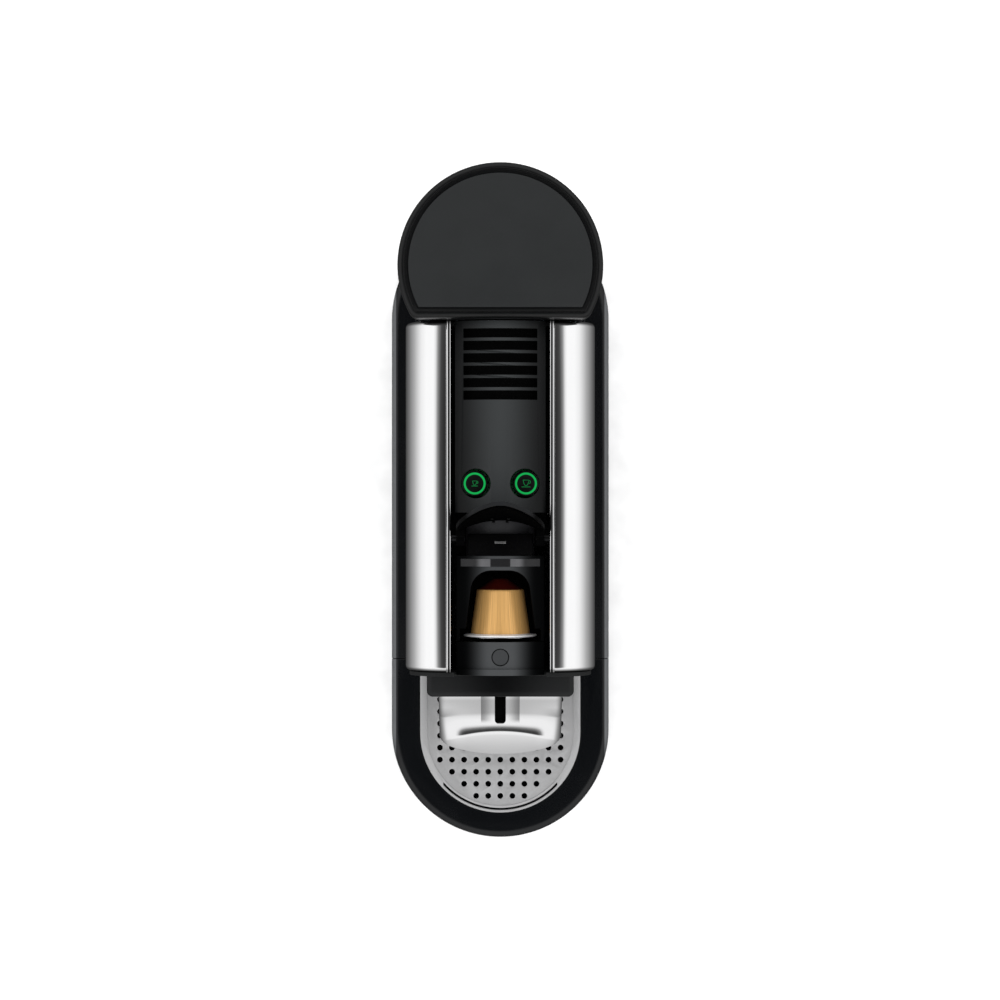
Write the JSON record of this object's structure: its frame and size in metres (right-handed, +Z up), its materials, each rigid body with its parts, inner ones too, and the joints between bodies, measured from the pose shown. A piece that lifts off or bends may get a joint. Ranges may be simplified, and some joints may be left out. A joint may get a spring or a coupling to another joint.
{
  "type": "pod coffee machine",
  "caption": "Slim pod coffee machine: chrome-sided head with lever, pod slot and two lit buttons, rear water tank with lid, and a half-round base with drip grid.",
  "frame": {"origin": "middle of the footprint on the table", "axes": "+Z up, -Y to the front where the coffee comes out, +Y to the rear with the water tank, +X to the right seen from the front"},
  "size_m": [0.128, 0.3692, 0.3225],
  "materials": {
    "base_black": "satin",
    "head_black": "satin",
    "gloss_black": "gloss",
    "lid_matte": "matte",
    "frame_grey": "matte",
    "chrome": "polished",
    "stainless": "satin",
    "steel": "plain",
    "tank_clear": "clear",
    "valve_white": "satin",
    "rubber": "matte",
    "silicone": "satin",
    "pod_gold": "satin",
    "foil": "satin",
    "cast_alloy": "cast",
    "cage_grey": "satin",
    "coil_wrap": "matte",
    "board_green": "satin",
    "green_light": "lit"
  },
  "bodies": {
    "root": {"base_feet": "rubber", "base_housing": "base_black", "base_plate": "base_black", "base_screws": "steel", "board_posts": "frame_grey", "brew_hose": "silicone", "bridge_clip": "stainless", "button_switches": "frame_grey", "cage_bearing": "stainless", "chute_strip": "stainless", "coffee_duct": "gloss_black", "coffee_nozzle": "gloss_black", "column_frame": "frame_grey", "control_board": "board_green", "cord_inlet": "rubber", "dock_seal": "rubber", "flow_meter": "frame_grey", "front_cover": "head_black", "front_panel": "head_black", "front_plug": "head_black", "hinge_bridge": "head_black", "left_side_panel": "chrome", "left_trim_rail": "chrome", "lever_pins": "steel", "outlet_carrier": "head_black", "outlet_hood": "chrome", "outlet_plate": "stainless", "pod_chute": "head_black", "pressure_hose": "silicone", "pump_body": "steel", "pump_coil": "coil_wrap", "pump_mounts": "rubber", "rear_panel": "head_black", "right_side_panel": "chrome", "right_trim_rail": "chrome", "suction_hose": "silicone", "tank_dock": "base_black", "thermoblock": "cast_alloy", "thermoblock_feet": "rubber", "top_cover": "head_black", "vent_liner": "head_black"},
    "lever": {"lever_shell": "gloss_black", "lever_liner": "lid_matte", "lever_screws": "steel"},
    "brew_cage": {"brew_cage": "cage_grey", "cage_pushrod": "steel"},
    "espresso_button": {"espresso_button": "gloss_black", "espresso_light_ring": "green_light"},
    "lungo_button": {"lungo_button": "gloss_black", "lungo_light_ring": "green_light"},
    "water_tank": {"water_tank": "tank_clear", "tank_valve": "valve_white"},
    "tank_lid": {"tank_lid": "gloss_black", "lid_plate": "lid_matte"},
    "drip_unit": {"drip_tray": "base_black", "drip_tray_feet": "rubber"},
    "drip_grid": {"drip_grid": "stainless"},
    "capsule_container": {"capsule_container": "head_black"},
    "pod": {"pod_shell": "pod_gold", "pod_foil": "foil"}
  },
  "joints": [
    {"name": "lever_hinge", "type": "hinge", "parent": "root", "child": "lever", "pos_m": [0, -0.0025, 0.258], "axis": [-1, 0, 0], "range_deg": [-97, 0]},
    {"name": "brew_cage_slide", "type": "slide", "parent": "root", "child": "brew_cage", "axis": [0, 1, 0], "range_m": [-0.0302, 0]},
    {"name": "espresso_press", "type": "slide", "parent": "root", "child": "espresso_button", "axis": [0, 0, -1], "range_m": [0, 0.0015]},
    {"name": "lungo_press", "type": "slide", "parent": "root", "child": "lungo_button", "axis": [0, 0, -1], "range_m": [0, 0.0015]},
    {"name": "tank_lift", "type": "slide", "parent": "root", "child": "water_tank", "axis": [0, 0, 1], "range_m": [0, 0.12]},
    {"name": "lid_lift", "type": "slide", "parent": "water_tank", "child": "tank_lid", "axis": [0, 0, 1], "range_m": [0, 0.03]},
    {"name": "drip_unit_slide", "type": "slide", "parent": "root", "child": "drip_unit", "axis": [0, -1, 0], "range_m": [0, 0.14]},
    {"name": "grid_lift", "type": "slide", "parent": "drip_unit", "child": "drip_grid", "axis": [0, 0, -1], "range_m": [-0.04, 0]},
    {"name": "container_slide", "type": "slide", "parent": "root", "child": "capsule_container", "axis": [0, -1, 0], "range_m": [0, 0.13]},
    {"name": "pod_lift", "type": "slide", "parent": "root", "child": "pod", "axis": [0, 0, 1], "range_m": [0, 0.05]}
  ],
  "couplings": [
    {"joint": "brew_cage_slide", "follows": "lever_hinge", "m_per_rad": 0.01772}
  ]
}
